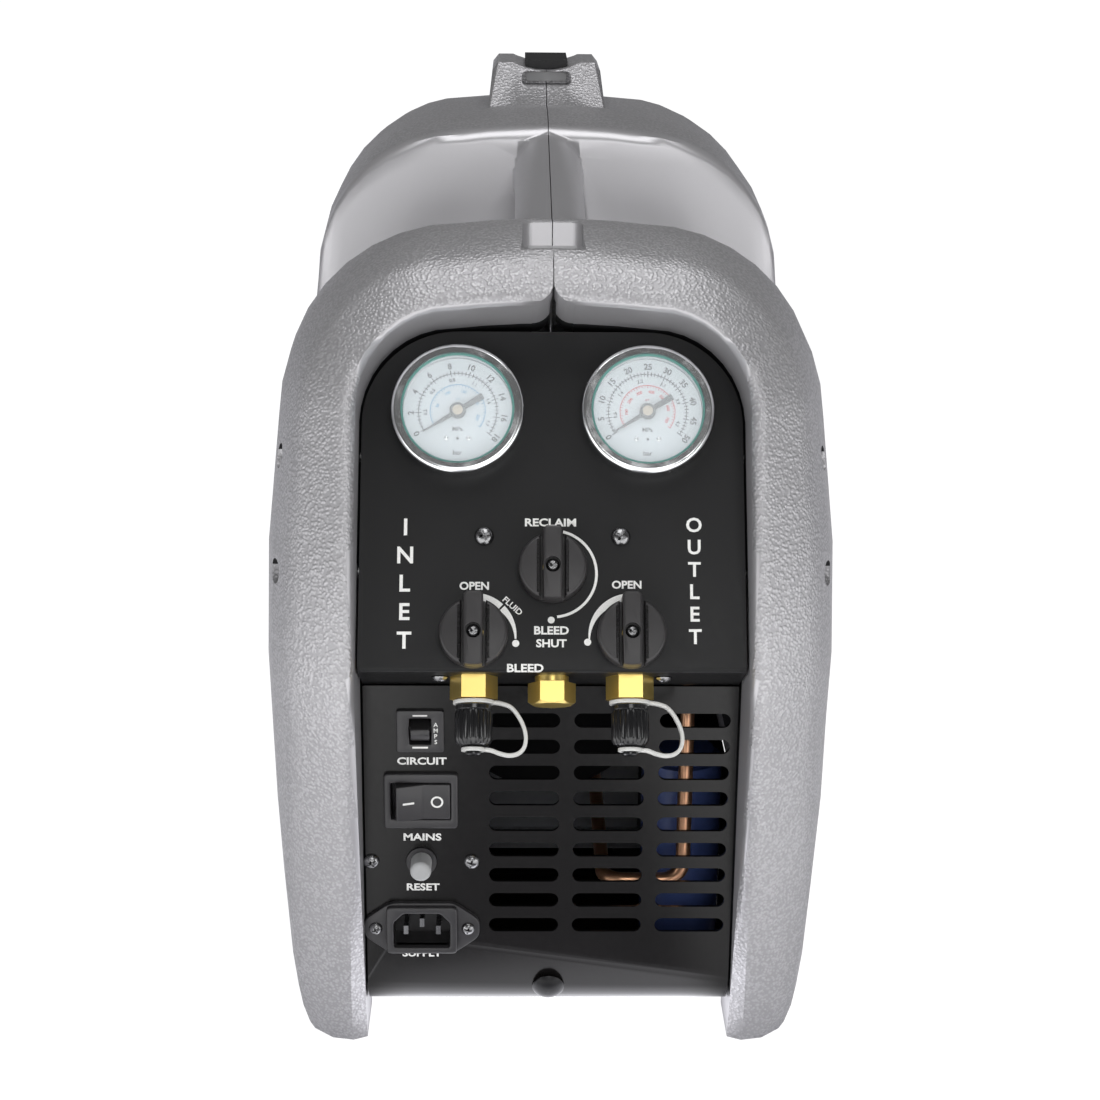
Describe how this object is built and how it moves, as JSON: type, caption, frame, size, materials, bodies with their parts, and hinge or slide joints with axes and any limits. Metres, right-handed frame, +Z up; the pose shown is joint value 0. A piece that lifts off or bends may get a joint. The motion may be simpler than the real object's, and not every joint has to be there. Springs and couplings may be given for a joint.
{
  "type": "refrigerant recovery machine",
  "caption": "Portable refrigerant recovery machine: moulded half shells with a bar handle, tilted panel with gauges, valve knobs and hose ports, slotted front, compressor and fan.",
  "frame": {"origin": "centre of the footprint, on the ground", "axes": "+Z up, -Y towards the control panel, +X to the right of someone facing it"},
  "size_m": [0.241, 0.4901, 0.397],
  "materials": {
    "shell": "moulded, pebble grain outside",
    "rubber": "matte",
    "clip_plastic": "satin",
    "dark_steel": "black zinc",
    "pan_paint": "satin powder coat",
    "panel_paint": "satin powder coat",
    "aluminium": "machined",
    "gauge_steel": "polished",
    "dial_white": "printed",
    "window": "clear",
    "needle_black": "satin",
    "copper": "drawn copper tube",
    "knob_plastic": "satin",
    "brass": "turned",
    "cap_plastic": "glossy",
    "tether_plastic": "soft",
    "switch_plastic": "satin",
    "button_grey": "satin",
    "pin_metal": "plated",
    "cast_alloy": "as cast",
    "motor_paint": "enamel",
    "base_paint": "enamel",
    "fan_plastic": "satin",
    "capacitor_blue": "sleeve"
  },
  "bodies": {
    "housing": {"right_shell": "shell", "left_shell": "shell", "saddle_pad": "rubber", "rubber_mounts": "rubber", "seam_clips": "clip_plastic", "side_screws": "dark_steel", "base_bolt": "dark_steel", "control_panel_screws": "dark_steel", "reset_switch_screws": "dark_steel", "inlet_socket_screws": "dark_steel", "base_pan": "pan_paint", "rear_panel": "pan_paint", "control_panel": "panel_paint", "valve_block": "aluminium", "condenser": "aluminium", "input_gauge_case": "gauge_steel", "output_gauge_case": "gauge_steel", "input_gauge_dial": "dial_white", "output_gauge_dial": "dial_white", "input_gauge_window": "window", "output_gauge_window": "window", "gauge_lines": "copper", "suction_line": "copper", "discharge_line": "copper", "liquid_line": "copper", "input_port": "brass", "purge_port": "brass", "output_port": "brass", "input_tether": "tether_plastic", "output_tether": "tether_plastic", "power_switch_body": "switch_plastic", "breaker_body": "switch_plastic", "reset_switch": "switch_plastic", "inlet_socket": "switch_plastic", "inlet_pins": "pin_metal", "crankcase": "cast_alloy", "cylinder_head": "cast_alloy", "motor": "motor_paint", "compressor_base": "base_paint", "fan_shroud": "fan_plastic", "run_capacitor": "capacitor_blue"},
    "input_valve": {"input_knob": "knob_plastic", "input_knob_screw": "dark_steel", "input_stem": "brass"},
    "mode_valve": {"mode_knob": "knob_plastic", "mode_knob_screw": "dark_steel", "mode_stem": "brass"},
    "output_valve": {"output_knob": "knob_plastic", "output_knob_screw": "dark_steel", "output_stem": "brass"},
    "input_pointer": {"input_needle": "needle_black"},
    "output_pointer": {"output_needle": "needle_black"},
    "input_dust_cap": {"input_cap": "cap_plastic"},
    "output_dust_cap": {"output_cap": "cap_plastic"},
    "purge_nut": {"purge_cap": "brass"},
    "power_lever": {"power_rocker": "switch_plastic"},
    "breaker_lever": {"breaker_paddle": "switch_plastic"},
    "reset_plunger": {"reset_button": "button_grey"},
    "fan_rotor": {"motor_shaft": "pin_metal", "fan": "fan_plastic"}
  },
  "joints": [
    {"name": "input_valve_turn", "type": "hinge", "parent": "housing", "child": "input_valve", "pos_m": [-0.032, -0.2275, 0.20049], "axis": [0, -0.866, 0.5], "range_deg": [-130, 0]},
    {"name": "mode_valve_turn", "type": "hinge", "parent": "housing", "child": "mode_valve", "pos_m": [0, -0.214, 0.22387], "axis": [0, -0.866, 0.5], "range_deg": [-180, 0]},
    {"name": "output_valve_turn", "type": "hinge", "parent": "housing", "child": "output_valve", "pos_m": [0.032, -0.2275, 0.20049], "axis": [0, -0.866, 0.5], "range_deg": [0, 130]},
    {"name": "input_needle_swing", "type": "hinge", "parent": "housing", "child": "input_pointer", "pos_m": [-0.0392, -0.181, 0.28103], "axis": [0, -0.866, 0.5], "range_deg": [-246, 0], "stiffness_Nm_per_rad": 0.0002},
    {"name": "output_needle_swing", "type": "hinge", "parent": "housing", "child": "output_pointer", "pos_m": [0.0392, -0.181, 0.28103], "axis": [0, -0.866, 0.5], "range_deg": [-250, 0], "stiffness_Nm_per_rad": 0.0002},
    {"name": "input_cap_turn", "type": "hinge", "parent": "housing", "child": "input_dust_cap", "pos_m": [-0.032, -0.22288, 0.1805], "axis": [0, -0.5, -0.866], "continuous": true},
    {"name": "output_cap_turn", "type": "hinge", "parent": "housing", "child": "output_dust_cap", "pos_m": [0.032, -0.22288, 0.1805], "axis": [0, -0.5, -0.866], "continuous": true},
    {"name": "purge_cap_turn", "type": "hinge", "parent": "housing", "child": "purge_nut", "pos_m": [0, -0.22288, 0.1805], "axis": [0, -0.5, -0.866], "continuous": true},
    {"name": "power_rock", "type": "hinge", "parent": "housing", "child": "power_lever", "pos_m": [-0.055, -0.204, 0.118], "axis": [0, 0, 1], "range_deg": [-18, 0]},
    {"name": "breaker_rock", "type": "hinge", "parent": "housing", "child": "breaker_lever", "pos_m": [-0.055, -0.204, 0.15], "axis": [1, 0, 0], "range_deg": [-24, 0]},
    {"name": "reset_press", "type": "slide", "parent": "housing", "child": "reset_plunger", "axis": [0, 1, 0], "range_m": [0, 0.004], "stiffness_N_per_m": 400},
    {"name": "fan_spin", "type": "hinge", "parent": "housing", "child": "fan_rotor", "pos_m": [0, 0.15, 0.122], "axis": [0, 1, 0], "continuous": true}
  ]
}
